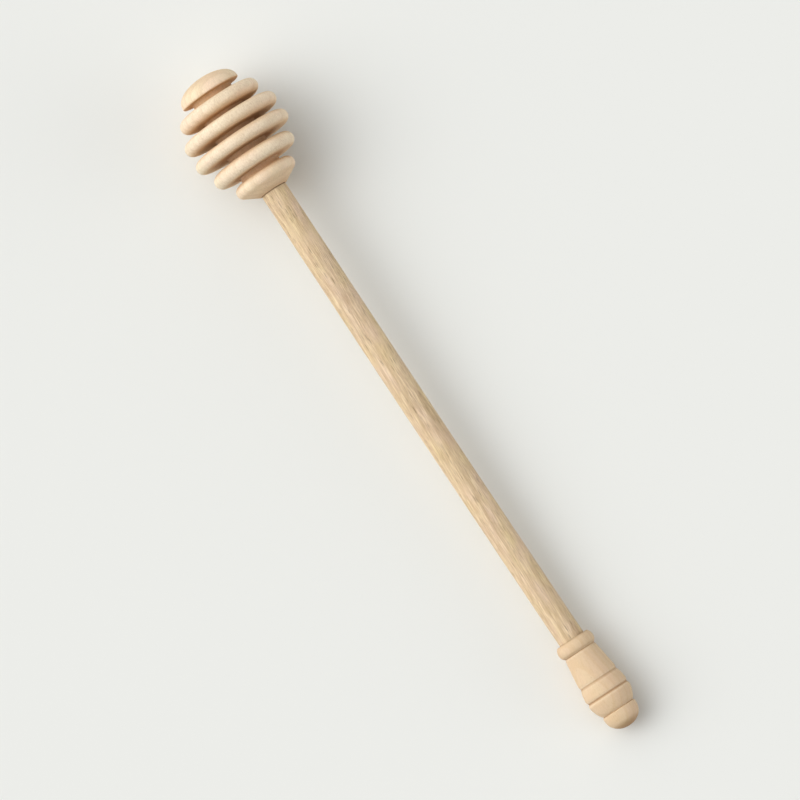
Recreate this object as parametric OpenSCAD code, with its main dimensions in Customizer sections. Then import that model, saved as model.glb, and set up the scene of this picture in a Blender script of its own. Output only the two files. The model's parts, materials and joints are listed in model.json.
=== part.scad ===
// Honey dipper in turned wood: a ribbed head and a small end knob, both drilled
// and glued on a straight dowel. It lies on its side, as it rests on a table.
// Millimetres. +X runs from the knob to the head, +Z is up.

/* [Dowel] */
// Diameter of the dowel stock
dowel_d = 6.35; // [5.5:0.05:7.5]
// Length of the dowel from end to end, with what is inside the head and the knob
dowel_l = 150; // [110:1:220]
// Chamfer on both ends of the dowel
dowel_chamfer = 0.6; // [0.2:0.1:1]

/* [Head] */
// Diameter of the swell that the rims follow, at its widest
head_d = 25.4; // [22:0.1:34]
// Diameter of that swell at the two outermost rims, the neck's and the cap's
end_rim_d = 15.3; // [14:0.1:20]
// Power of the swell: 1 makes two cones, 2 a parabola
swell_power = 1.7; // [1.2:0.1:2.4]
// How far the widest place is shifted from the middle towards the dowel
widest_shift = 0.25; // [0:0.05:1]
// Number of honey grooves
groove_count = 5; // [3:1:7]
// Width of each honey groove
groove_w = 1.7; // [1.2:0.1:2.4]
// Thickness of the round-edged discs between the grooves
rib_w = 3.25; // [2.6:0.05:4]
// Length of the domed cap
cap_l = 4.3; // [3:0.1:6]
// Fullness of the cap's outline: 2 is an ellipse, more is squarer
cap_fullness = 2.2; // [2:0.1:2.8]
// Radius of the softened edge on the cap's flat side
cap_edge = 0.35; // [0.2:0.05:0.6]
// Length of the last rim with the cone that falls to the dowel
neck_l = 4.95; // [4:0.05:7]
// Step from the dowel's surface up to the end of that cone
neck_lip = 0.4; // [0.3:0.05:0.8]
// Wood left around the socket at the bottom of the grooves
core_wall = 1.9; // [1.2:0.1:2.4]
// Depth of the dowel inside the head
head_seat = 14; // [8:0.5:18]

/* [Knob] */
// Diameter of the domed button on the end
button_d = 8.55; // [7.5:0.05:10]
// Length of the button
button_l = 4.65; // [4.1:0.05:6]
// Length of the button's dome, from its widest place to the tip
button_dome_l = 3.7; // [2.8:0.1:4.2]
// Diameter of the grip's outline at its widest
grip_d = 11; // [10:0.1:14]
// Radius of the grip's outline where it turns down to the button
grip_round = 7; // [6:0.1:9]
// Length of the bead next to the button
end_bead_l = 4.3; // [3.4:0.1:5]
// Length of the bead next to the barrel
mid_bead_l = 3.8; // [3:0.1:6]
// Length of the tapered barrel
barrel_l = 7.6; // [5:0.1:12]
// Wood around the dowel at the slim end of the barrel
knob_wall = 0.85; // [0.7:0.05:1.4]
// Width of the rounded collar where the dowel enters
collar_l = 3.3; // [2.4:0.1:5]
// Height of the collar's crest above its edges
collar_swell = 0.65; // [0.4:0.05:1]
// Depth of the two V cuts that part the barrel and the beads
cut_depth = 0.35; // [0.25:0.05:0.6]
// Depth of the V cuts in the corners beside the collar and the button
corner_depth = 0.2; // [0.15:0.05:0.4]
// Angle between the sides of the V cuts
cut_angle = 90; // [60:5:110]
// Depth of the dowel inside the knob
knob_seat = 12; // [8:0.5:14]

/* [Glue joints] */
// Glue film all round the dowel in its sockets
glue_gap = 0.05; // [0.03:0.01:0.1]
// Room past the dowel's end for spare glue
glue_room = 1; // [0.5:0.1:2]
// Angle of the drill point at the bottom of the sockets
drill_point = 118; // [90:1:150]
// Chamfer round the mouth of each socket
mouth_chamfer = 0.15; // [0.1:0.05:0.2]

/* [Hidden] */
$fn = 96;

// Straight steps in a quarter turn of a rounded outline
arc_steps = 6;
// How far a cutter starts outside the wood
over = 0.5;

dowel_r = dowel_d / 2;
socket_r = dowel_r + glue_gap;

// The head is measured from its mouth, where the dowel enters, to the cap's tip.
// Rim 0 is the neck's, the last is the cap's, and a disc carries each in between.
pitch = rib_w + groove_w;
rim_r = rib_w / 2;
core_r = socket_r + core_wall;
cap_base = neck_l + groove_count * pitch - rib_w;
head_l = cap_base + cap_l;

// The knob is measured from the button's tip to its mouth
button_r = button_d / 2;
slim_r = dowel_r + knob_wall;
end_cut = button_l + end_bead_l;
mid_cut = end_cut + mid_bead_l;
barrel_end = mid_cut + barrel_l;
knob_l = barrel_end + collar_l;

// The beads share one arc, and the barrel's straight side runs on from it
grip_c = [grip_d / 2 - grip_round, end_cut];
to_slim = [slim_r, barrel_end] - grip_c;
flare = atan2(to_slim[1], to_slim[0]) - acos(grip_round / norm(to_slim));

collar_round = (pow(collar_l / 2, 2) + pow(collar_swell, 2)) / collar_swell / 2;

// Places along the whole dipper, from the button's tip
dowel_at = knob_l - knob_seat;
head_at = dowel_at + dowel_l - head_seat;
dipper_l = head_at + head_l;

// It rests on one disc of the head and on the beads of the grip, so it slopes
discs = [for (i = [1:groove_count - 1]) i];
slopes = [for (i = discs) slope_on(i)];
slope = max(slopes);
low_disc = discs[search(slope, slopes)[0]];
axis_height = lowest(rim_centre(low_disc), rim_r);

// Radius of rim i
function rim_radius(i) =
    let (from_widest = 2 * i / groove_count - 1 + widest_shift / (groove_count * pitch / 2))
    (head_d - (head_d - end_rim_d) * pow(abs(from_widest), swell_power)) / 2;

// Centre of rim i's round edge, as [radius, place along the head]
function rim_centre(i) = [rim_radius(i) - rim_r, neck_l - rim_r + i * pitch];

// Slope at which disc i and the grip's arc touch the same level table
function slope_on(i) =
    let (run = rim_centre(i) + [0, head_at] - grip_c)
    atan2(run[0], run[1]) + asin((rim_r - grip_round) / norm(run));

// How far the axis at the button's tip must lie above the table for a round edge
// of radius r round c, on the head, to touch it
function lowest(c, r) = r + c[0] * cos(slope) - (head_at + c[1]) * sin(slope);

// Points on an arc of radius r round c, from one angle to another
function arc(c, r, from, to, steps = arc_steps) = [for (i = [0:steps])
    let (a = from + (to - from) * i / steps)
    c + r * [cos(a), sin(a)]];

// Points on a dome of radius r and length l, from a little below its widest
// place, where the angle is start, to its tip
function dome(r, l, fullness, start) = [for (i = [0:2 * arc_steps])
    let (a = start + (90 - start) * i / arc_steps / 2)
    [r * pow(cos(a), 2 / fullness), l * sign(a) * pow(abs(sin(a)), 2 / fullness)]];

// Radius of the grip's outline at a place along the knob
function grip_radius(z) = z < grip_c[1] + grip_round * sin(flare)
    ? grip_c[0] + sqrt(pow(grip_round, 2) - pow(z - grip_c[1], 2))
    : slim_r + (barrel_end - z) * tan(flare);

// Last rim of the head with its cone, from the mouth to the first groove
function neck_outline() =
    let (c = rim_centre(0),
         lip = [dowel_r + neck_lip, 0],
         run = lip - c,
         touch = atan2(run[1], run[0]) + acos(rim_r / norm(run)))
    concat([[0, 0], lip], arc(c, rim_r, touch, 90), [[core_r, neck_l]]);

// Disc i, from the bottom of one groove round its edge to the next
function disc_outline(i) =
    let (c = rim_centre(i))
    concat([[core_r, c[1] - rim_r]], arc(c, rim_r, -90, 90, 2 * arc_steps),
        [[core_r, c[1] + rim_r]]);

// Domed tip of the head, flat towards the last groove
function cap_outline() =
    let (r = rim_radius(groove_count),
         widest = cap_base + cap_edge,
         first = 90 / arc_steps)
    concat([[core_r, cap_base]], arc([r - cap_edge, widest], cap_edge, -90, -first),
        [for (p = dome(r, cap_l - cap_edge, cap_fullness, 0)) p + [0, widest]]);

// Blind hole upwards from its mouth at zero, with a drill point at its end
module socket(seat) {
    depth = seat + glue_room;
    rotate_extrude() polygon([
        [0, -over],
        [socket_r + mouth_chamfer + over, -over],
        [socket_r, mouth_chamfer],
        [socket_r, depth],
        [0, depth + socket_r / tan(drill_point / 2)]
    ]);
}

// Ring that cuts a V into the surface of radius r at height z
module v_cut(z, r, depth) {
    side = (depth + over) * tan(cut_angle / 2);
    translate([0, 0, z]) rotate_extrude() polygon([
        [r - depth, 0],
        [r + over, -side],
        [r + over, side]
    ]);
}

module dipper_head() {
    color("burlywood") difference() {
        rotate_extrude() polygon(concat(
            neck_outline(),
            [for (i = discs) each disc_outline(i)],
            cap_outline()
        ));
        socket(head_seat);
    }
}

module handle_dowel() {
    color("tan") rotate_extrude() polygon([
        [0, 0],
        [dowel_r - dowel_chamfer, 0],
        [dowel_r, dowel_chamfer],
        [dowel_r, dowel_l - dowel_chamfer],
        [dowel_r - dowel_chamfer, dowel_l],
        [0, dowel_l]
    ]);
}

// Button, beads, barrel and collar in one turned outline
module knob_blank() {
    collar_c = [slim_r + collar_swell - collar_round, knob_l - collar_l / 2];
    collar_turn = asin(collar_l / 2 / collar_round);
    bead_turn = asin((button_l - end_cut) / grip_round);
    button_turn = asin((button_dome_l - button_l) / button_dome_l);
    rotate_extrude() polygon(concat(
        [[0, knob_l]],
        arc(collar_c, collar_round, collar_turn, -collar_turn),
        arc(grip_c, grip_round, flare, bead_turn),
        [for (p = dome(button_r, button_dome_l, 2, button_turn))
            [p[0], button_dome_l - p[1]]]
    ));
}

module end_knob() {
    color("wheat") difference() {
        knob_blank();
        for (z = [end_cut, mid_cut]) v_cut(z, grip_radius(z), cut_depth);
        for (z = [button_l, barrel_end]) v_cut(z, grip_radius(z), corner_depth);
        translate([0, 0, knob_l]) mirror([0, 0, 1]) socket(knob_seat);
    }
}

// Lays down on the table a piece whose foot is a given way from the button's tip
module at_rest(along) {
    translate([-dipper_l / 2 * cos(slope), 0, axis_height])
        rotate([0, 90 - slope, 0])
        translate([0, 0, along]) children();
}

at_rest(head_at) dipper_head();
at_rest(dowel_at) handle_dowel();
at_rest(0) end_knob();
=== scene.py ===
import json
import math

import bpy
from mathutils import Euler, Matrix, Vector


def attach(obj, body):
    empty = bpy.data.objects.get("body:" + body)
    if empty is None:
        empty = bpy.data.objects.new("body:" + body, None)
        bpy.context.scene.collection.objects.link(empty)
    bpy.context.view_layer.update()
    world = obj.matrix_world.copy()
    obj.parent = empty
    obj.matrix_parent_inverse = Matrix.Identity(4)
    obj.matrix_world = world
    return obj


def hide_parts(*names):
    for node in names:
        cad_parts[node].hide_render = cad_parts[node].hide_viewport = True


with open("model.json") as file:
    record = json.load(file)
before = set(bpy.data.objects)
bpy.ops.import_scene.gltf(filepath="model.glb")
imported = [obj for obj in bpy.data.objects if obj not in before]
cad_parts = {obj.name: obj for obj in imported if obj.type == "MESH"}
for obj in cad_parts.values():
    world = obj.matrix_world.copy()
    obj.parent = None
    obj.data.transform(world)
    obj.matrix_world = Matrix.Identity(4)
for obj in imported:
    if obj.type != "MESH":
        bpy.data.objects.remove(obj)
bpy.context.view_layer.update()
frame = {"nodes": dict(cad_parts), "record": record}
print("frame loaded:", ", ".join(sorted(frame["nodes"])))

# Lengths are in millimetres until a piece is laid down on the floor
mm = 0.001
quarterTurn = math.pi / 2

layout = {
    "knobMouth": 23.65,      # places along the dipper, from the button's tip
    "headMouth": 147.65,
    "dipperLength": 178.4,
    "bow": 0.38,             # how far the middle of the stick is bent out of line
}

# The grip's mount lies on the dipper's axis, so it says how the dipper lies
grip = frame["record"]["mounts"][0]
alongAxis = Vector(grip["axis"]).normalized()
gripPlace = (layout["knobMouth"] + layout["headMouth"]) / 2
buttonTip = Vector(grip["pos_m"]) - alongAxis * gripPlace * mm
lie = Euler((0, quarterTurn - math.asin(alongAxis.z), 0))
layDown = Matrix.Translation(buttonTip) @ lie.to_matrix().to_4x4() @ Matrix.Scale(mm, 4)


class Wire:
    # An output socket of a node tree that sums and products can be written with
    def __init__(self, tree, socket):
        self.tree = tree
        self.socket = socket

    def maths(self, operation, *others):
        node = self.tree.nodes.new("ShaderNodeMath")
        node.operation = operation
        for place, value in enumerate((self,) + others):
            plug(self.tree, value, node.inputs[place])
        return Wire(self.tree, node.outputs[0])

    def __add__(self, other):
        return self.maths("ADD", other)

    def __sub__(self, other):
        return self.maths("SUBTRACT", other)

    def __mul__(self, other):
        return self.maths("MULTIPLY", other)

    def __truediv__(self, other):
        return self.maths("DIVIDE", other)

    def __pow__(self, other):
        return self.maths("POWER", other)

    def __rsub__(self, other):
        return self * -1 + other

    __radd__ = __add__
    __rmul__ = __mul__

    def clamped(self):
        return self.maths("MAXIMUM", 0.0).maths("MINIMUM", 1.0)


def plug(tree, value, socket):
    if isinstance(value, Wire):
        tree.links.new(value.socket, socket)
    else:
        socket.default_value = value


def addNode(tree, kind, inputs=None, output=0, **settings):
    # Adds a node with its settings and inputs, and gives the wire that leaves it
    node = tree.nodes.new(kind)
    for name, value in settings.items():
        setattr(node, name, value)
    for name, value in (inputs or {}).items():
        plug(tree, value, node.inputs[name])
    return Wire(tree, node.outputs[output])


def startTree(name, kind, sockets, results):
    # A new node group with named inputs, the wires from them, and its output node
    tree = bpy.data.node_groups.new(name, kind)
    for label, (socketType, value) in sockets.items():
        socket = tree.interface.new_socket(
            label, in_out="INPUT", socket_type="NodeSocket" + socketType
        )
        if value is not None:
            socket.default_value = value
    for label, socketType in results.items():
        tree.interface.new_socket(label, in_out="OUTPUT", socket_type="NodeSocket" + socketType)
    given = tree.nodes.new("NodeGroupInput")
    wires = {label: Wire(tree, given.outputs[label]) for label in sockets}
    return tree, wires, tree.nodes.new("NodeGroupOutput")


def useGroup(tree, group, inputs, output=0):
    node = tree.nodes.new("GeometryNodeGroup" if tree.type == "GEOMETRY" else "ShaderNodeGroup")
    node.node_tree = group
    for name, value in inputs.items():
        plug(tree, value, node.inputs[name])
    return node if output is None else Wire(tree, node.outputs[output])


def cosine(angle):
    return angle.maths("COSINE")


def sine(angle):
    return angle.maths("SINE")


def vector(tree, x, y, z):
    return addNode(tree, "ShaderNodeCombineXYZ", {"X": x, "Y": y, "Z": z})


def parts(tree, wire):
    # The X, Y and Z of a vector
    node = tree.nodes.new("ShaderNodeSeparateXYZ")
    plug(tree, wire, node.inputs[0])
    return [Wire(tree, socket) for socket in node.outputs]


# Geometry nodes that turn wood on a lathe
def pointIndex(tree):
    return addNode(tree, "GeometryNodeInputIndex")


def storedValue(tree, name):
    return addNode(tree, "GeometryNodeInputNamedAttribute", {"Name": name}, data_type="FLOAT")


def storeValue(tree, geometry, name, value):
    return addNode(
        tree,
        "GeometryNodeStoreNamedAttribute",
        {"Geometry": geometry, "Name": name, "Value": value},
        data_type="FLOAT",
        domain="POINT",
    )


def outlinePoints(tree, count, radius, place, soften=0.0):
    # Points of an outline, at a radius and a place along the dipper
    position = vector(tree, radius, 0.0, place)
    points = addNode(tree, "GeometryNodePoints", {"Count": count, "Position": position})
    return storeValue(tree, points, "soften", soften)


def pick(tree, kind, index, choices):
    # The choice with a given number from a short list
    switch = tree.nodes.new("GeometryNodeIndexSwitch")
    switch.data_type = kind
    while len(switch.index_switch_items) < len(choices):
        switch.index_switch_items.new()
    plug(tree, index, switch.inputs["Index"])
    for number, choice in enumerate(choices):
        plug(tree, choice, switch.inputs[str(number)])
    return Wire(tree, switch.outputs[0])


def fewPoints(tree, pairs, soften):
    # A short outline from a list of radii and places
    corners = [vector(tree, radius, 0.0, place) for radius, place in pairs]
    position = parts(tree, pick(tree, "VECTOR", pointIndex(tree), corners))
    return outlinePoints(tree, len(pairs), position[0], position[2], soften)


def arcPoints(tree, count, centre, radius, start, end):
    # Points on an arc from one angle to another, in radians
    turn = start + (end - start) * pointIndex(tree) / (count - 1)
    return outlinePoints(
        tree, count, centre[0] + cosine(turn) * radius, centre[1] + sine(turn) * radius
    )


def sampleAt(tree, curve, value, index, kind):
    # A curve's value at the point with a given number
    return addNode(
        tree,
        "GeometryNodeSampleIndex",
        {"Geometry": curve, "Value": value, "Index": index},
        data_type=kind,
        domain="POINT",
    )


def inOrder(tree, sections):
    # Join Geometry puts what was linked last first
    join = tree.nodes.new("GeometryNodeJoinGeometry")
    for section in reversed(sections):
        tree.links.new(section.socket, join.inputs[0])
    return Wire(tree, join.outputs[0])


def noiseAt(tree, place, seed, detail=2.0, roughness=0.5):
    # Noise from -1 to 1
    noise = addNode(
        tree,
        "ShaderNodeTexNoise",
        {"Vector": place, "W": seed, "Scale": 1.0, "Detail": detail, "Roughness": roughness},
        noise_dimensions="4D",
    )
    return noise * 2.0 - 1.0


def mapRange(tree, value, source, target=(0.0, 1.0), interpolation="SMOOTHSTEP"):
    # Brings a value from one range to another and holds it there
    return addNode(
        tree,
        "ShaderNodeMapRange",
        {
            "Value": value,
            "From Min": source[0],
            "From Max": source[1],
            "To Min": target[0],
            "To Max": target[1],
        },
        interpolation_type=interpolation,
    )


def fromAxis(tree, place):
    # How far a place is from the Z axis
    x, y = parts(tree, place)[:2]
    return (x * x + y * y).maths("SQRT")


def scaled(tree, place, x, y, z):
    # A place measured in lengths of its own along each axis
    return addNode(
        tree,
        "ShaderNodeVectorMath",
        {0: place, 1: vector(tree, x, y, z)},
        operation="DIVIDE",
    )


# What the lathe is told, with the kind and the usual value of each
latheInputs = {
    "Longest Step": ("Float", 0.4),
    "Segments": ("Int", 160),
    "Unevenness": ("Float", 0.03),
    "Unevenness Size": ("Float", 6.0),
    "Raised Fibre": ("Float", 0.01),
    "Fibre Width": ("Float", 0.3),
    "Fibre Length": ("Float", 3.0),
    "Seed": ("Float", 0.0),
}
latheHabits = {
    "cornerPoints": 4,       # more points on each softened corner of an outline
    "mergeDistance": 0.0005,
    "swellStretch": 1.6,     # unevenness is longer along the work than round it
    "fibreSeed": 3.0,
    "sharpEdge": 38,         # edges steeper than this stay sharp, in degrees
}


def buildLathe():
    # Turns an outline round the dipper's axis into one closed skin
    tree, given, result = startTree(
        "turnOnLathe",
        "GeometryNodeTree",
        {"Outline": ("Geometry", None), **latheInputs},
        {"Turned": "Geometry"},
    )
    curve = addNode(
        tree,
        "GeometryNodePointsToCurves",
        {"Points": given["Outline"], "Weight": pointIndex(tree)},
    )
    curve = addNode(
        tree,
        "GeometryNodeFilletCurve",
        {
            "Curve": curve,
            "Count": latheHabits["cornerPoints"],
            "Radius": storedValue(tree, "soften"),
            "Limit Radius": True,
        },
        mode="POLY",
    )
    position = addNode(tree, "GeometryNodeInputPosition")
    following = sampleAt(tree, curve, position, pointIndex(tree) + 1.0, "FLOAT_VECTOR")
    reach = addNode(
        tree,
        "ShaderNodeVectorMath",
        {0: following, 1: position},
        output="Value",
        operation="DISTANCE",
    )
    cuts = (reach / given["Longest Step"]).maths("FLOOR")
    curve = addNode(tree, "GeometryNodeSubdivideCurve", {"Curve": curve, "Cuts": cuts})
    rows = addNode(
        tree,
        "GeometryNodeAttributeDomainSize",
        {"Geometry": curve},
        output="Point Count",
        component="CURVE",
    )
    columns = given["Segments"] + 1.0
    skin = addNode(
        tree,
        "GeometryNodeMeshGrid",
        {"Size X": 1.0, "Size Y": 1.0, "Vertices X": rows, "Vertices Y": columns},
    )
    row = ((pointIndex(tree) + 0.5) / columns).maths("FLOOR")
    column = pointIndex(tree) - row * columns
    outlinePlace = parts(tree, sampleAt(tree, curve, position, row, "FLOAT_VECTOR"))
    # Painted shade with stain, and below zero wear with a painted highlight, carried from the outline
    # to the skin
    paintedShadeAndStain = sampleAt(tree, curve, storedValue(tree, "paintedShadeAndStain"), row, "FLOAT")
    radius = outlinePlace[0]
    turn = column / given["Segments"] * (-2 * math.pi)
    skin = storeValue(tree, skin, "paintedShadeAndStain", paintedShadeAndStain)
    turned = vector(tree, radius * cosine(turn), radius * sine(turn), outlinePlace[2])
    skin = addNode(tree, "GeometryNodeSetPosition", {"Geometry": skin, "Position": turned})
    skin = addNode(
        tree,
        "GeometryNodeMergeByDistance",
        {"Geometry": skin, "Distance": latheHabits["mergeDistance"]},
    )
    seed = given["Seed"]
    size = given["Unevenness Size"]
    width = given["Fibre Width"]
    swellPlace = scaled(tree, position, size, size, size * latheHabits["swellStretch"])
    fibrePlace = scaled(tree, position, width, width, given["Fibre Length"])
    swell = noiseAt(tree, swellPlace, seed) * given["Unevenness"]
    fibre = noiseAt(tree, fibrePlace, seed + latheHabits["fibreSeed"]) * given["Raised Fibre"]
    normal = addNode(tree, "GeometryNodeInputNormal")
    offset = addNode(
        tree, "ShaderNodeVectorMath", {0: normal, "Scale": swell + fibre}, operation="SCALE"
    )
    skin = addNode(tree, "GeometryNodeSetPosition", {"Geometry": skin, "Offset": offset})
    # The whole dipper is a little bowed, as such sticks often are
    along = parts(tree, position)[2] * (2 / layout["dipperLength"]) - 1.0
    bow = (1.0 - along * along) * layout["bow"]
    skin = addNode(
        tree, "GeometryNodeSetPosition", {"Geometry": skin, "Offset": vector(tree, 0.0, bow, 0.0)}
    )
    skin = addNode(
        tree, "GeometryNodeSetShadeSmooth", {"Geometry": skin, "Shade Smooth": True}, domain="FACE"
    )
    sharp = math.radians(latheHabits["sharpEdge"])
    corner = addNode(tree, "GeometryNodeInputMeshEdgeAngle").maths("GREATER_THAN", sharp)
    skin = addNode(
        tree,
        "GeometryNodeSetShadeSmooth",
        {"Geometry": skin, "Selection": corner, "Shade Smooth": False},
        domain="EDGE",
    )
    plug(tree, skin, result.inputs["Turned"])
    return tree


lathe = buildLathe()


def latheSockets(values):
    return {name: (latheInputs[name][0], value) for name, value in values.items()}


def turnOutline(tree, outline, given):
    return useGroup(tree, lathe, {"Outline": outline, **{name: given[name] for name in latheInputs}})


def finishTree(tree, geometry, material, result):
    real = addNode(tree, "GeometryNodeRealizeInstances", {"Geometry": geometry})
    dressed = addNode(tree, "GeometryNodeSetMaterial", {"Geometry": real, "Material": material})
    plug(tree, dressed, result.inputs["Piece"])


def makePiece(name, tree, values, outline=None):
    # Runs a tree on a new object, keeps the plain mesh and lays it down in its place
    piece = bpy.data.objects.new(name, outline or bpy.data.meshes.new(name))
    bpy.context.scene.collection.objects.link(piece)
    modifier = piece.modifiers.new(name, "NODES")
    modifier.node_group = tree
    for item in tree.interface.items_tree:
        if item.in_out == "INPUT" and item.name in values:
            modifier[item.identifier] = values[item.name]
    bpy.context.view_layer.update()
    depsgraph = bpy.context.evaluated_depsgraph_get()
    finished = bpy.data.meshes.new_from_object(
        piece.evaluated_get(depsgraph), preserve_all_data_layers=True, depsgraph=depsgraph
    )
    piece.modifiers.remove(modifier)
    piece.data = finished
    finished.name = name
    finished.transform(layDown)
    finished.update()
    print(f"{name}: {len(finished.vertices)} points, {len(finished.polygons)} faces")
    return piece


# Shader groups that all three woods share
grainHabits = {
    # Added to a piece's own seed, so that no two noises are alike
    "seeds": {"rough": 17.0, "wander": 21.0, "streaks": 5.0, "fuzz": 12.0, "patches": 9.0},
    "ringWaver": (7.0, 7.0, 45.0),       # sizes of the noise that bends the rings
    "lateWood": (0.35, 0.93),            # where in a ring the late wood darkens
    "ringEnd": (0.95, 1.0),              # and where it breaks off
    "roughPlaces": (3.0, 3.0, 9.0),      # sizes of the torn places and the calm ones
    "roughContrast": 1.6,
    "leastStrength": 0.25,               # of the streaks in the calmest place
    "wander": (1.5, 1.5, 5.0),           # sizes of the noise that bends the streaks
    "streakRoughness": 0.62,
    "poreCore": 0.45,                    # share of a pore that is fully dark
    "fuzz": (2.0, 3.0, 0.7, 1.4),        # stretch, detail, roughness and contrast
    "patch": (2.8, 1.2),                 # stretch and contrast
}


def buildGrain():
    # Growth rings, long streaks and open pores, solid through the wood
    tree, given, result = startTree(
        "woodGrain",
        "ShaderNodeTree",
        {
            "Place": ("Vector", None),
            "Pith": ("Vector", (9.0, 4.0, 0.0)),
            "Slope": ("Vector", (0.02, 0.01, 0.0)),
            "Ring Width": ("Float", 1.6),
            "Ring Waver": ("Float", 0.8),
            "Streak Width": ("Float", 0.5),
            "Streak Length": ("Float", 14.0),
            "Streak Waver": ("Float", 0.1),
            "Streak Contrast": ("Float", 1.3),
            "Streak Detail": ("Float", 4.0),
            "Rough Places": ("Float", 0.5),
            "Pore Spacing": ("Float", 0.5),
            "Pore Length": ("Float", 3.0),
            "Pore Size": ("Float", 0.3),
            "Pore Share": ("Float", 0.5),
            "Fuzz Size": ("Float", 0.3),
            "Patch Width": ("Float", 5.0),
            "Seed": ("Float", 0.0),
        },
        {"Rings": "Float", "Streaks": "Float", "Pores": "Float", "Patches": "Float", "Fuzz": "Float"},
    )
    seed = given["Seed"]
    seeds = {name: seed + step for name, step in grainHabits["seeds"].items()}
    # The fibres run a little askew to the axis
    across = addNode(
        tree,
        "ShaderNodeVectorMath",
        {0: given["Slope"], "Scale": parts(tree, given["Place"])[2]},
        operation="SCALE",
    )
    place = addNode(tree, "ShaderNodeVectorMath", {0: given["Place"], 1: across}, operation="ADD")
    fromPith = addNode(
        tree, "ShaderNodeVectorMath", {0: place, 1: given["Pith"]}, operation="SUBTRACT"
    )
    waver = noiseAt(tree, scaled(tree, place, *grainHabits["ringWaver"]), seed) * given["Ring Waver"]
    inRing = ((fromAxis(tree, fromPith) + waver) / given["Ring Width"]).maths("FRACT")
    late = mapRange(tree, inRing, grainHabits["lateWood"])
    early = mapRange(tree, inRing, grainHabits["ringEnd"], (1.0, 0.0), "LINEAR")
    plug(tree, late * early, result.inputs["Rings"])
    # Some places are torn and streaky, and others calm
    rough = noiseAt(tree, scaled(tree, place, *grainHabits["roughPlaces"]), seeds["rough"])
    strength = rough * given["Rough Places"] * grainHabits["roughContrast"] + 1.0
    strength = strength.maths("MAXIMUM", grainHabits["leastStrength"])
    wander = noiseAt(tree, scaled(tree, place, *grainHabits["wander"]), seeds["wander"])
    wander = wander * given["Streak Waver"]
    place = addNode(
        tree, "ShaderNodeVectorMath", {0: place, 1: vector(tree, wander, wander, 0.0)}, operation="ADD"
    )
    width = given["Streak Width"]
    streak = noiseAt(
        tree,
        scaled(tree, place, width, width, given["Streak Length"]),
        seeds["streaks"],
        given["Streak Detail"],
        grainHabits["streakRoughness"],
    )
    streaks = (streak * strength * given["Streak Contrast"] + 0.5).clamped()
    plug(tree, streaks, result.inputs["Streaks"])
    # Pores lie in cells of their own, a share of them left out
    spacing = given["Pore Spacing"]
    cells = tree.nodes.new("ShaderNodeTexVoronoi")
    cells.voronoi_dimensions = "4D"
    plug(tree, scaled(tree, place, spacing, spacing, given["Pore Length"]), cells.inputs["Vector"])
    plug(tree, seed, cells.inputs["W"])
    cells.inputs["Scale"].default_value = 1.0
    poreSize = given["Pore Size"]
    fromPore = Wire(tree, cells.outputs["Distance"])
    pore = mapRange(tree, fromPore, (poreSize * grainHabits["poreCore"], poreSize), (1.0, 0.0))
    chance = parts(tree, Wire(tree, cells.outputs["Color"]))[0].maths("LESS_THAN", given["Pore Share"])
    plug(tree, pore * chance * strength.clamped(), result.inputs["Pores"])
    size = given["Fuzz Size"]
    stretch, detail, roughness, contrast = grainHabits["fuzz"]
    fuzzPlace = scaled(tree, place, size, size, size * stretch)
    fuzz = noiseAt(tree, fuzzPlace, seeds["fuzz"], detail, roughness)
    plug(tree, (fuzz * contrast + 0.5).clamped(), result.inputs["Fuzz"])
    size = given["Patch Width"]
    stretch, contrast = grainHabits["patch"]
    patch = noiseAt(tree, scaled(tree, place, size, size, size * stretch), seeds["patches"])
    plug(tree, (patch * contrast + 0.5).clamped(), result.inputs["Patches"])
    return tree


def buildEndGrain():
    # How squarely the surface cuts across the fibres
    tree, given, result = startTree(
        "endGrain",
        "ShaderNodeTree",
        {"Least": ("Float", 0.45), "Most": ("Float", 0.98)},
        {"Share": "Float"},
    )
    normal = Wire(tree, tree.nodes.new("ShaderNodeNewGeometry").outputs["Normal"])
    across = addNode(
        tree,
        "ShaderNodeVectorMath",
        {0: normal, 1: tuple(alongAxis)},
        output="Value",
        operation="DOT_PRODUCT",
    ).maths("ABSOLUTE")
    share = mapRange(tree, across, (given["Least"], given["Most"]))
    plug(tree, share, result.inputs["Share"])
    return tree


toolMarkHabits = {
    "turn": 1.2,             # how fast a mark changes on its way round
    "detail": 3.0,
    "roughness": 0.6,
}


def buildToolMarks():
    # Fine rings that the turning tool and the sandpaper leave round the work
    tree, given, result = startTree(
        "toolMarks",
        "ShaderNodeTree",
        {"Place": ("Vector", None), "Spacing": ("Float", 0.25), "Seed": ("Float", 0.0)},
        {"Marks": "Float"},
    )
    x, y, z = parts(tree, given["Place"])
    spacing = given["Spacing"]
    turn = y.maths("ARCTAN2", x) * toolMarkHabits["turn"]
    spot = vector(tree, fromAxis(tree, given["Place"]) / spacing, z / spacing, turn)
    marks = noiseAt(tree, spot, given["Seed"], toolMarkHabits["detail"], toolMarkHabits["roughness"])
    plug(tree, marks * 0.5 + 0.5, result.inputs["Marks"])
    return tree


grainGroup = buildGrain()
endGrainGroup = buildEndGrain()
toolMarkGroup = buildToolMarks()
print("shared groups built")


def paint(code):
    # A colour written as on a screen, such as 0xE6D0B0, as Blender's linear colour
    channels = [(code >> shift & 255) / 255 for shift in (16, 8, 0)]
    linear = [c / 12.92 if c < 0.04045 else ((c + 0.055) / 1.055) ** 2.4 for c in channels]
    return (*linear, 1.0)


def mixColour(tree, share, first, second, blend="MIX"):
    node = tree.nodes.new("ShaderNodeMix")
    node.data_type = "RGBA"
    node.blend_type = blend
    plug(tree, share, node.inputs[0])
    plug(tree, first, node.inputs[6])
    plug(tree, second, node.inputs[7])
    return Wire(tree, node.outputs[2])


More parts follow.
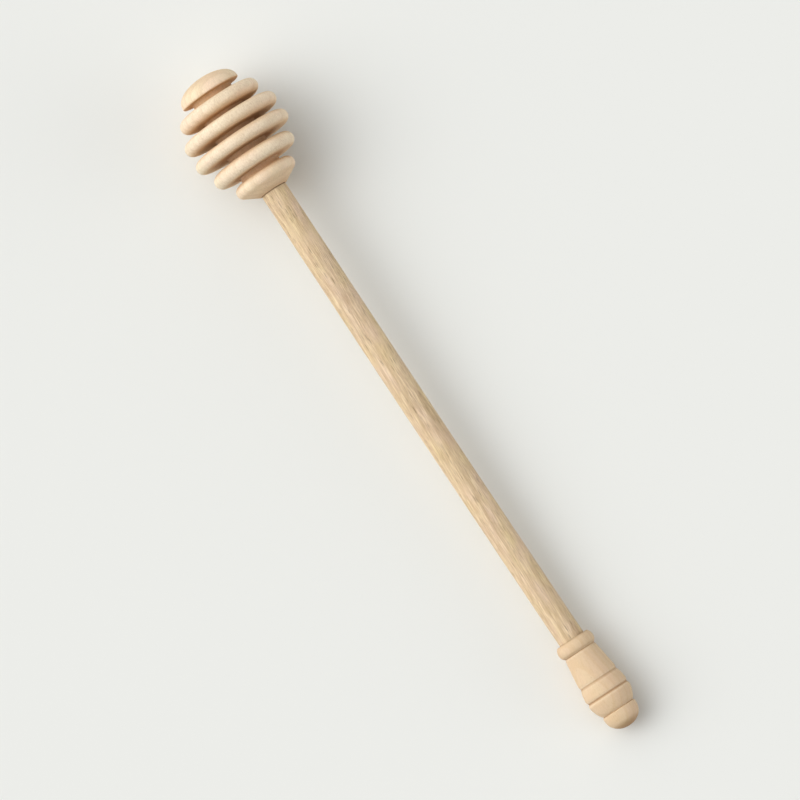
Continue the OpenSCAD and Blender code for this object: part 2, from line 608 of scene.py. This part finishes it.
# How much each effect roughens the wood, and how far it raises the surface
roughens = {"streaks": 0.1, "marks": 0.06, "paintedShadeAndStain": 0.1, "wearAndHighlight": -0.08}
raises = {"streaks": -0.5, "pores": -1.0, "rings": 0.25}


def makeWood(name, values):
    material = bpy.data.materials.new(name)
    material.use_nodes = True
    tree = material.node_tree
    tree.nodes.clear()
    coordinates = Wire(tree, tree.nodes.new("ShaderNodeTexCoord").outputs["Object"])
    # Millimetres along and round the dipper's own axis
    mapping = tree.nodes.new("ShaderNodeMapping")
    mapping.vector_type = "TEXTURE"
    mapping.inputs["Location"].default_value = buttonTip
    mapping.inputs["Rotation"].default_value = lie
    mapping.inputs["Scale"].default_value = (mm, mm, mm)
    plug(tree, coordinates, mapping.inputs["Vector"])
    place = Wire(tree, mapping.outputs[0])
    grain = useGroup(tree, grainGroup, {"Place": place, **values["grain"]}, output=None)
    rings, streaks, pores, patches, fuzz = (Wire(tree, socket) for socket in grain.outputs)
    endShare = useGroup(tree, endGrainGroup, {})
    marks = useGroup(tree, toolMarkGroup, {"Place": place, "Spacing": values["markSpacing"]})
    # Above zero this paints shade into grooves, cuts and joints, with some real glue stain and tool
    # burn; below zero it paints a highlight on crests and cut shoulders, with real wear
    depth = addNode(tree, "ShaderNodeAttribute", output="Fac", attribute_name="paintedShadeAndStain")
    paintedShadeAndStain = depth.clamped()
    wearAndHighlight = (depth * -1.0).clamped()
    colour = mixColour(tree, patches, paint(values["yellower"]), paint(values["pinker"]))
    for share, tint, paintName in (
        (rings, "ringTint", "lateWood"),
        (streaks, "streakTint", "streak"),
        (pores, "poreTint", "pore"),
        (endShare, "endTint", "endWood"),
        (paintedShadeAndStain, "paintedShadeAndStainTint", "paintedShadeAndStain"),
        (wearAndHighlight * fuzz, "wearAndHighlightTint", "wearAndHighlight"),
    ):
        colour = mixColour(tree, share * values[tint], colour, paint(values[paintName]))
    speckle = (fuzz - 0.5) * values["fuzzTint"] + 1.0
    colour = mixColour(tree, 1.0, colour, vector(tree, speckle, speckle, speckle), "MULTIPLY")
    roughness = streaks * roughens["streaks"] + marks * roughens["marks"]
    roughness = roughness + paintedShadeAndStain * roughens["paintedShadeAndStain"] + wearAndHighlight * roughens["wearAndHighlight"]
    roughness = roughness + values["roughness"]
    height = streaks * raises["streaks"] + pores * raises["pores"] + marks * values["markDepth"]
    height = height + rings * raises["rings"] + fuzz * values["fuzzHeight"]
    bump = addNode(tree, "ShaderNodeBump", {"Height": height, "Distance": values["bumpDepth"] * mm})
    shader = tree.nodes.new("ShaderNodeBsdfPrincipled")
    shader.inputs["Specular IOR Level"].default_value = values["specular"]
    plug(tree, colour, shader.inputs["Base Color"])
    plug(tree, roughness, shader.inputs["Roughness"])
    plug(tree, bump, shader.inputs["Normal"])
    output = tree.nodes.new("ShaderNodeOutputMaterial")
    tree.links.new(shader.outputs[0], output.inputs["Surface"])
    return material


# The ribbed head
head = {
    "sizes": {
        "Head Diameter": 25.4,
        "End Rim Diameter": 15.3,
        "Swell Power": 1.7,
        "Widest Shift": 0.25,     # from the middle of the grooves towards the dowel
        "Groove Width": 1.7,
        "Disc Width": 3.25,
        "Cap Length": 4.3,
        "Cap Fullness": 2.2,      # 2 is an ellipse, more is squarer
        "Cap Edge": 0.35,
        "Neck Length": 4.95,
        "Neck Lip Radius": 3.575,
        "Core Radius": 5.125,
        "Socket Radius": 3.225,
        "Socket Depth": 15.0,
        "Drill Point": 1.94,
        "Mouth Chamfer": 0.15,
        "Groove Corner": 0.35,
        "Mouth Stain And Shade": 1.1,       # how far up the cone the glue stain and painted shade of the joint reach
        "Stain And Shade Depth": 0.7,       # how dark it is, next to the bottom of a groove
        "Wear And Highlight Depth": 0.5,        # how far down from a disc's crest the wear and painted highlight reach
    },
    "Grooves": 5,
    "lathe": {
        "Longest Step": 0.42,
        "Segments": 200,
        "Unevenness": 0.05,
        "Unevenness Size": 5.0,
        "Raised Fibre": 0.012,
        "Fibre Width": 0.35,
        "Fibre Length": 2.5,
        "Seed": 2.0,
    },
    "arcPoints": 17,
    "capArc": (7, 12),            # points on the cap's soft edge, and where it ends in degrees
    "soften": {"socket": 0.03, "lip": 0.14},    # of the corners there
    # How much thicker each disc was left, neck to cap, on its side towards the dowel
    "extra": (0.3, 0.0, 0.1, 0.28),
    "wood": {
        "grain": {
            "Pith": (26.0, 9.0, 0.0),
            "Ring Width": 1.9,
            "Ring Waver": 0.9,
            "Streak Width": 0.34,
            "Streak Length": 5.0,
            "Pore Spacing": 0.42,
            "Pore Length": 1.3,
            "Pore Size": 0.22,
            "Pore Share": 0.35,
            "Fuzz Size": 0.28,
            "Seed": 1.3,
        },
        "markSpacing": 0.22,
        "yellower": 0xF9E6C4,
        "pinker": 0xF9DDC1,
        "lateWood": 0xDDBF97,
        "streak": 0xDCC09C,
        "pore": 0xA98256,
        "endWood": 0xD9B68B,
        # painted shade in the grooves, with some tool burn, and glue stain with painted shade at the
        # joint
        "paintedShadeAndStain": 0xC08A50,
        "ringTint": 0.3,
        "streakTint": 0.35,
        "poreTint": 0.25,
        "endTint": 0.45,
        "paintedShadeAndStainTint": 0.5,
        # wear with a painted highlight on the crests
        "wearAndHighlight": 0xFCEFD6,
        "wearAndHighlightTint": 0.5,
        "fuzzTint": 0.16,
        "fuzzHeight": 0.6,
        "roughness": 0.58,
        "specular": 0.3,
        "markDepth": 0.5,
        "bumpDepth": 0.05,
    },
}


def buildHead():
    sizes = head["sizes"]
    tree, given, result = startTree(
        "dipperHead",
        "GeometryNodeTree",
        {
            "Geometry": ("Geometry", None),
            "Mouth Place": ("Float", layout["headMouth"]),
            "Grooves": ("Int", head["Grooves"]),
            **{name: ("Float", value) for name, value in sizes.items()},
            **latheSockets(head["lathe"]),
            "Material": ("Material", None),
        },
        {"Piece": "Geometry"},
    )
    mouth = given["Mouth Place"]
    grooves = given["Grooves"]
    pitch = given["Groove Width"] + given["Disc Width"]
    edge = given["Disc Width"] * 0.5
    core = given["Core Radius"]
    corner = given["Groove Corner"]
    shift = given["Widest Shift"] * 2.0 / (grooves * pitch)

    def rimRadius(number):
        # The rims follow one swell, and the neck's is number 0
        fromWidest = (number * 2.0 / grooves - 1.0 + shift).maths("ABSOLUTE")
        fall = given["Head Diameter"] - given["End Rim Diameter"]
        return (given["Head Diameter"] - fall * fromWidest ** given["Swell Power"]) * 0.5

    # Blind socket for the dowel, from its drill point to its mouth
    deep = mouth + given["Socket Depth"]
    bore = given["Socket Radius"]
    chamfer = given["Mouth Chamfer"]
    socket = [
        (0.0, deep + given["Drill Point"]),
        (bore, deep),
        (bore, mouth + chamfer),
        (bore + chamfer, mouth),
    ]
    socket = fewPoints(tree, socket, head["soften"]["socket"])
    # Last rim, whose cone leaves its round edge at a tangent
    lip = given["Neck Lip Radius"]
    neckEnd = mouth + given["Neck Length"]
    neckCentre = (rimRadius(grooves * 0) - edge, neckEnd - edge)
    runOut = lip - neckCentre[0]
    runAlong = mouth - neckCentre[1]
    run = (runOut * runOut + runAlong * runAlong).maths("SQRT")
    touch = runAlong.maths("ARCTAN2", runOut) + (edge / run).maths("ARCCOSINE")
    neck = [
        fewPoints(tree, [(lip, mouth)], head["soften"]["lip"]),
        arcPoints(tree, head["arcPoints"], neckCentre, edge, touch, quarterTurn),
        fewPoints(tree, [(core, neckEnd)], corner),
    ]
    # Discs with full round edges, each a groove further along
    perDisc = head["arcPoints"] + 2
    number = ((pointIndex(tree) + 0.5) / perDisc).maths("FLOOR")
    within = pointIndex(tree) - number * perDisc
    onCore = within.maths("LESS_THAN", 0.5) + within.maths("GREATER_THAN", perDisc - 1.5)
    turn = ((within - 1.0) / (head["arcPoints"] - 1)).clamped() * math.pi - quarterTurn
    half = edge + pick(tree, "FLOAT", number, [extra / 2 for extra in head["extra"]])
    discRadius = rimRadius(number + 1.0) - half + cosine(turn) * half
    discs = outlinePoints(
        tree,
        (grooves - 1.0) * perDisc,
        onCore * core + (1.0 - onCore) * discRadius,
        neckEnd - half + (number + 1.0) * pitch + sine(turn) * half,
        onCore * corner,
    )
    # Domed cap, flat towards the last groove
    capBase = neckEnd + grooves * pitch - given["Disc Width"]
    capEdge = given["Cap Edge"]
    capRadius = rimRadius(grooves)
    capCentre = (capRadius - capEdge, capBase + capEdge)
    domeLength = given["Cap Length"] - capEdge
    domeCount = head["arcPoints"] * 2
    rise = pointIndex(tree) * (quarterTurn / (domeCount - 1))
    power = (given["Cap Fullness"] * 0.5).maths("POWER", -1.0)
    dome = outlinePoints(
        tree,
        domeCount,
        capRadius * cosine(rise).maths("ABSOLUTE") ** power,
        capCentre[1] + domeLength * sine(rise) ** power,
    )
    edgePoints, edgeEnd = head["capArc"]
    cap = [
        fewPoints(tree, [(core, capBase)], corner),
        arcPoints(tree, edgePoints, capCentre, capEdge, -quarterTurn, -math.radians(edgeEnd)),
        dome,
    ]
    outline = inOrder(tree, [socket] + neck + [discs] + cap)
    turned = turnOutline(tree, outline, given)
    # How deep in a groove each point lies, for painted shade there, and below zero where it stands
    # proud, for wear and a painted highlight
    position = addNode(tree, "GeometryNodeInputPosition")
    place = parts(tree, position)[2]
    swellHere = rimRadius((place - neckEnd + edge) / pitch)
    depth = swellHere - fromAxis(tree, position)
    paintedShadeAndStain = (depth / (swellHere - core)).clamped() - (1.0 - depth / given["Wear And Highlight Depth"]).clamped()
    paintedShadeAndStain = paintedShadeAndStain * place.maths("GREATER_THAN", neckEnd - edge)
    paintedShadeAndStain = paintedShadeAndStain * place.maths("LESS_THAN", capBase + capEdge)
    # Glue stain and painted shade darken the cone next to the joint
    stainAndShade = (1.0 - (place - mouth) / given["Mouth Stain And Shade"]).clamped() * given["Stain And Shade Depth"]
    turned = storeValue(tree, turned, "paintedShadeAndStain", paintedShadeAndStain + stainAndShade)
    finishTree(tree, turned, given["Material"], result)
    return tree


headWood = makeWood("headWood", head["wood"])
headPiece = makePiece(
    "headTurned",
    buildHead(),
    {
        "Mouth Place": layout["headMouth"],
        "Grooves": head["Grooves"],
        **head["sizes"],
        **head["lathe"],
        "Material": headWood,
    },
)


def drawOutline(name, points):
    # An outline of radius, place, softening and painted shade with stain (below zero, wear with a
    # painted highlight), drawn as a mesh of points
    mesh = bpy.data.meshes.new(name)
    mesh.from_pydata([(point[0], 0.0, point[1]) for point in points], [], [])
    for label, column in (("soften", 2), ("paintedShadeAndStain", 3)):
        attribute = mesh.attributes.new(label, "FLOAT", "POINT")
        attribute.data.foreach_set("value", [point[column] for point in points])
    return mesh


def buildTurning(name, values):
    # Turns an outline that was drawn as a mesh of points
    tree, given, result = startTree(
        name,
        "GeometryNodeTree",
        {"Outline": ("Geometry", None), **latheSockets(values), "Material": ("Material", None)},
        {"Piece": "Geometry"},
    )
    points = addNode(tree, "GeometryNodeMeshToPoints", {"Mesh": given["Outline"]})
    finishTree(tree, turnOutline(tree, points, given), given["Material"], result)
    return tree


# The dowel
dowel = {
    "start": 11.65,
    "end": 161.65,
    "radius": 3.175,
    "chamfer": 0.6,
    "endSoften": 0.15,
    "stainAndShade": (0.08, 0.3),     # how far out of a socket it is darkest, and where it ends
    "stainAndShadeAtKnob": 0.2,       # how dark, next to the one at the head
    "lathe": {
        "Longest Step": 0.75,
        "Segments": 168,
        "Unevenness": 0.035,
        "Unevenness Size": 9.0,
        "Raised Fibre": 0.035,
        "Fibre Width": 0.3,
        "Fibre Length": 7.0,
        "Seed": 6.0,
    },
    "wood": {
        "grain": {
            "Pith": (-14.0, -7.0, 0.0),
            "Slope": (0.012, 0.03, 0.0),
            "Ring Width": 1.7,
            "Ring Waver": 1.1,
            "Streak Width": 0.15,
            "Streak Length": 4.0,
            "Streak Waver": 0.12,
            "Streak Contrast": 2.5,
            "Streak Detail": 2.0,
            "Rough Places": 1.0,
            "Pore Spacing": 0.3,
            "Pore Length": 3.5,
            "Pore Size": 0.36,
            "Pore Share": 0.6,
            "Fuzz Size": 0.3,
            "Patch Width": 2.6,
            "Seed": 4.2,
        },
        "markSpacing": 0.5,
        "yellower": 0xF8E1B2,
        "pinker": 0xF8DDC1,
        "lateWood": 0xD0B28A,
        "streak": 0xC5A27A,
        "pore": 0x846044,
        "endWood": 0xCBA777,
        # glue stain with painted shadow at the joints
        "paintedShadeAndStain": 0x6E4A2A,
        "ringTint": 0.4,
        "streakTint": 0.62,
        "poreTint": 0.55,
        "endTint": 0.3,
        "paintedShadeAndStainTint": 0.75,
        "wearAndHighlight": 0xF0DFC0,
        "wearAndHighlightTint": 0.0,          # nothing on straight stock stands proud
        "fuzzTint": 0.12,
        "fuzzHeight": 0.4,
        "roughness": 0.6,
        "specular": 0.3,
        "markDepth": 0.1,
        "bumpDepth": 0.14,
    },
}


def dowelOutline():
    start, end = dowel["start"], dowel["end"]
    radius, chamfer, soften = dowel["radius"], dowel["chamfer"], dowel["endSoften"]
    points = [
        (0.0, start, 0.0, 0.0),
        (radius - chamfer, start, soften, 0.0),
        (radius, start + chamfer, soften, 0.0),
    ]
    # Painted shadow of the sockets' lips, with glue and dust, darkens the wood where it enters the knob
    # and the head
    darkest, stainAndShadeEnd = dowel["stainAndShade"]
    for mouth, outwards, dark in (
        (layout["knobMouth"], 1, dowel["stainAndShadeAtKnob"]),
        (layout["headMouth"], -1, 1.0),
    ):
        stainAndShade = [(mouth + outwards * darkest, dark), (mouth + outwards * stainAndShadeEnd, 0.0)]
        points += [(radius, place, 0.0, share) for place, share in sorted(stainAndShade)]
    return points + [
        (radius, end - chamfer, soften, 0.0),
        (radius - chamfer, end, soften, 0.0),
        (0.0, end, 0.0, 0.0),
    ]


dowelWood = makeWood("dowelWood", dowel["wood"])
dowelPiece = makePiece(
    "dowelTurned",
    buildTurning("handleDowel", dowel["lathe"]),
    {**dowel["lathe"], "Material": dowelWood},
    drawOutline("dowelOutline", dowelOutline()),
)

# The knob
knob = {
    "buttonRadius": 4.275,
    "buttonLength": 4.65,
    "buttonDome": 3.7,
    "buttonFullness": 2.08,   # 2 is an ellipse, more is squarer
    "gripRound": 7.0,         # one arc runs under both beads
    "gripCentre": (-1.5, 8.95),
    "barrelEnd": 20.35,
    "slimRadius": 4.025,
    "flare": 7.68576,         # of the barrel's side, in degrees
    "collarRound": 2.42,
    "collarCrest": 4.675,
    "length": 23.65,
    "cuts": (                 # place, depth, half the width, softness of the shoulders
        (4.65, 0.06, 0.05, 0.15),
        (8.95, 0.34, 0.36, 0.75),
        (12.75, 0.24, 0.34, 0.7),
        (20.35, 0.2, 0.18, 0.3),
    ),
    "cutPaintedShade": (0.16, 0.25), # depth at which painted shade in a cut starts, and how much deeper it is full
    "wearAndHighlightWidth": 0.25,
    "socketRadius": 3.225,
    "socketDepth": 13.0,
    "drillPoint": 1.94,
    "mouthChamfer": 0.15,
    "mouthSoften": (0.12, 0.03),
    "mouthStainAndShade": (0.3, 0.5), # glue stain and painted shade, on the chamfer and in the socket
    "domeSteps": 26,
    "steps": (0.045, 0.15),   # along the outline, near a cut and elsewhere
    "cutReach": 1.2,
    "lathe": {
        "Longest Step": 0.3,
        "Segments": 144,
        "Unevenness": 0.03,
        "Unevenness Size": 4.0,
        "Raised Fibre": 0.008,
        "Fibre Width": 0.3,
        "Fibre Length": 2.5,
        "Seed": 11.0,
    },
    "wood": {
        "grain": {
            "Pith": (18.0, -16.0, 0.0),
            "Ring Width": 1.5,
            "Ring Waver": 0.8,
            "Streak Width": 0.3,
            "Streak Length": 5.0,
            "Pore Spacing": 0.4,
            "Pore Length": 1.2,
            "Pore Size": 0.22,
            "Pore Share": 0.3,
            "Fuzz Size": 0.26,
            "Seed": 7.9,
        },
        "markSpacing": 0.25,
        "yellower": 0xE2C9A4,
        "pinker": 0xE3C4A7,
        "lateWood": 0xD7B588,
        "streak": 0xD6B68C,
        "pore": 0xA07A4E,
        "endWood": 0xA07648,
        # painted shade in the cuts, and glue stain with painted shade at the mouth
        "paintedShadeAndStain": 0x9A6C40,
        "ringTint": 0.3,
        "streakTint": 0.35,
        "poreTint": 0.25,
        "endTint": 0.8,
        "paintedShadeAndStainTint": 0.75,
        # wear with a painted highlight on the cut shoulders
        "wearAndHighlight": 0xF3E3C6,
        "wearAndHighlightTint": 0.6,
        "fuzzTint": 0.08,
        "fuzzHeight": 0.4,
        "roughness": 0.56,
        "specular": 0.3,
        "markDepth": 0.4,
        "bumpDepth": 0.05,
    },
}


def gripRadius(place):
    # Both beads and the wide end of the barrel lie on one arc, and a straight side runs on
    centreRadius, centrePlace = knob["gripCentre"]
    flare = math.radians(knob["flare"])
    if place < centrePlace + knob["gripRound"] * math.sin(flare):
        return centreRadius + math.sqrt(knob["gripRound"] ** 2 - (place - centrePlace) ** 2)
    return knob["slimRadius"] + (knob["barrelEnd"] - place) * math.tan(flare)


def knobRadius(place):
    if place < knob["buttonLength"]:
        height = max(0.0, 1 - place / knob["buttonDome"])
        fullness = knob["buttonFullness"]
        return knob["buttonRadius"] * (1 - height ** fullness) ** (1 / fullness)
    if place < knob["barrelEnd"]:
        return gripRadius(place)
    middle = (knob["barrelEnd"] + knob["length"]) / 2
    return knob["collarCrest"] - knob["collarRound"] + math.sqrt(
        knob["collarRound"] ** 2 - (place - middle) ** 2
    )


def lesser(a, b, softness):
    # The lesser of two values, blended where they cross
    near = max(softness - abs(a - b), 0.0) / softness
    return min(a, b) - near * near * softness / 4


def knobOutline():
    # Close stations on the button's dome and by the cuts, and wider ones elsewhere
    mouth = knob["length"]
    stations = set()
    for step in range(knob["domeSteps"]):
        turn = quarterTurn * step / knob["domeSteps"]
        stations.add(round(knob["buttonDome"] * (1 - math.cos(turn)), 4))
    fine, coarse = knob["steps"]
    place = knob["buttonDome"]
    while place < mouth:
        near = min(abs(place - cut[0]) for cut in knob["cuts"])
        place += fine if near < knob["cutReach"] else coarse
        stations.add(round(min(place, mouth), 4))
    shadeStart, shadeRange = knob["cutPaintedShade"]
    points = []
    for place in sorted(stations):
        plain = knobRadius(place)
        radius = plain
        for cut, depth, width, softness in knob["cuts"]:
            side = gripRadius(cut) - depth * (1 - abs(place - cut) / width)
            radius = lesser(radius, side, softness)
        # Wear with a painted highlight along each cut's shoulders, and painted shade inside the cuts
        near = min(abs(abs(place - cut[0]) - cut[2]) for cut in knob["cuts"])
        wearAndHighlight = math.exp(-(near / knob["wearAndHighlightWidth"]) ** 2)
        paintedShadeAndStain = min(1.0, max(0.0, plain - radius - shadeStart) / shadeRange)
        points.append((radius, place, 0.0, paintedShadeAndStain or -wearAndHighlight))
    deep = mouth - knob["socketDepth"]
    bore = knob["socketRadius"]
    chamfer = knob["mouthChamfer"]
    outerSoften, innerSoften = knob["mouthSoften"]
    chamferStainAndShade, socketStainAndShade = knob["mouthStainAndShade"]
    points[-1] = (points[-1][0], mouth, outerSoften, 0.0)
    return points + [
        (bore + chamfer, mouth, innerSoften, chamferStainAndShade),
        (bore, mouth - chamfer, innerSoften, socketStainAndShade),
        (bore, deep, 0.0, socketStainAndShade),
        (0.0, deep - knob["drillPoint"], 0.0, socketStainAndShade),
    ]


knobWood = makeWood("knobWood", knob["wood"])
knobPiece = makePiece(
    "knobTurned",
    buildTurning("endKnob", knob["lathe"]),
    {**knob["lathe"], "Material": knobWood},
    drawOutline("knobOutline", knobOutline()),
)

for piece, node, slot in (
    (headPiece, "dipper_head", "head_wood"),
    (dowelPiece, "handle_dowel", "dowel_wood"),
    (knobPiece, "end_knob", "knob_wood"),
):
    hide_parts(node)
    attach(piece, "root")
print("pieces placed")

# The plain floor and the studio's light
studio = {
    "floor": 0xEDEEEA,
    "floorSize": 8.0,
    "floorRoughness": 0.6,
    "floorShine": 0.25,
    "ambient": 0.11,
    "lights": (                           # way round from +X, way up, strength, sharpness
        (66, 43, 4.7, 11.0),              # the main one, from the left of the picture
        (5, 55, 1.1, 6.0),                # a softer one beyond the head
        (232, 10, 2.2, 10.0),             # a low one from the side across
    ),
}


def makeFloor():
    half = studio["floorSize"] / 2
    mesh = bpy.data.meshes.new("floor")
    corners = [(-half, -half, 0), (half, -half, 0), (half, half, 0), (-half, half, 0)]
    mesh.from_pydata(corners, [], [(0, 1, 2, 3)])
    floor = bpy.data.objects.new("floor", mesh)
    bpy.context.scene.collection.objects.link(floor)
    material = bpy.data.materials.new("paleFloor")
    material.use_nodes = True
    shader = material.node_tree.nodes["Principled BSDF"]
    shader.inputs["Base Color"].default_value = paint(studio["floor"])
    shader.inputs["Roughness"].default_value = studio["floorRoughness"]
    shader.inputs["Specular IOR Level"].default_value = studio["floorShine"]
    mesh.materials.append(material)


def makeWorld():
    world = bpy.data.worlds.new("studio")
    bpy.context.scene.world = world
    world.use_nodes = True
    tree = world.node_tree
    tree.nodes.clear()
    way = Wire(tree, tree.nodes.new("ShaderNodeTexCoord").outputs["Generated"])
    strength = studio["ambient"]
    for azimuth, elevation, amount, sharpness in studio["lights"]:
        up = math.radians(elevation)
        turn = math.radians(azimuth)
        towards = (math.cos(up) * math.cos(turn), math.cos(up) * math.sin(turn), math.sin(up))
        nearness = addNode(
            tree, "ShaderNodeVectorMath", {0: way, 1: towards}, output="Value", operation="DOT_PRODUCT"
        )
        strength = ((nearness - 1.0) * sharpness).maths("EXPONENT") * amount + strength
    light = addNode(
        tree, "ShaderNodeBackground", {"Color": (1.0, 1.0, 1.0, 1.0), "Strength": strength}
    )
    rays = tree.nodes.new("ShaderNodeLightPath")
    seen = Wire(tree, rays.outputs["Is Camera Ray"])
    seen = seen.maths("MAXIMUM", Wire(tree, rays.outputs["Is Glossy Ray"]))
    seen = seen.maths("MAXIMUM", Wire(tree, rays.outputs["Is Transmission Ray"]))
    backdrop = addNode(tree, "ShaderNodeBackground", {"Color": paint(studio["floor"]), "Strength": 1.0})
    mix = tree.nodes.new("ShaderNodeMixShader")
    plug(tree, seen, mix.inputs[0])
    tree.links.new(light.socket, mix.inputs[1])
    tree.links.new(backdrop.socket, mix.inputs[2])
    output = tree.nodes.new("ShaderNodeOutputWorld")
    tree.links.new(mix.outputs[0], output.inputs["Surface"])


# The camera looks nearly straight down through a long lens
cameraSet = {
    "lens": 270.0,
    "sensor": 36.0,
    "clip": (0.05, 50.0),
    "place": (-0.13077, 0.09028, 1.37769),
    "lookAt": (0.00199, 0.00268, 0.009),
    "turn": 236.476,                      # of the picture's right side, from +X
}


def makeCamera():
    data = bpy.data.cameras.new("camera")
    data.lens = cameraSet["lens"]
    data.sensor_width = cameraSet["sensor"]
    data.clip_start, data.clip_end = cameraSet["clip"]
    camera = bpy.data.objects.new("camera", data)
    bpy.context.scene.collection.objects.link(camera)
    place = Vector(cameraSet["place"])
    back = (place - Vector(cameraSet["lookAt"])).normalized()
    turn = math.radians(cameraSet["turn"])
    right = Vector((math.cos(turn), math.sin(turn), 0))
    right = (right - back * right.dot(back)).normalized()
    up = back.cross(right)
    pose = Matrix((right, up, back)).transposed().to_4x4()
    pose.translation = place
    camera.matrix_world = pose
    bpy.context.scene.camera = camera


makeFloor()
makeWorld()
makeCamera()
bpy.context.scene.view_settings.view_transform = "Standard"
print("studio and camera set")
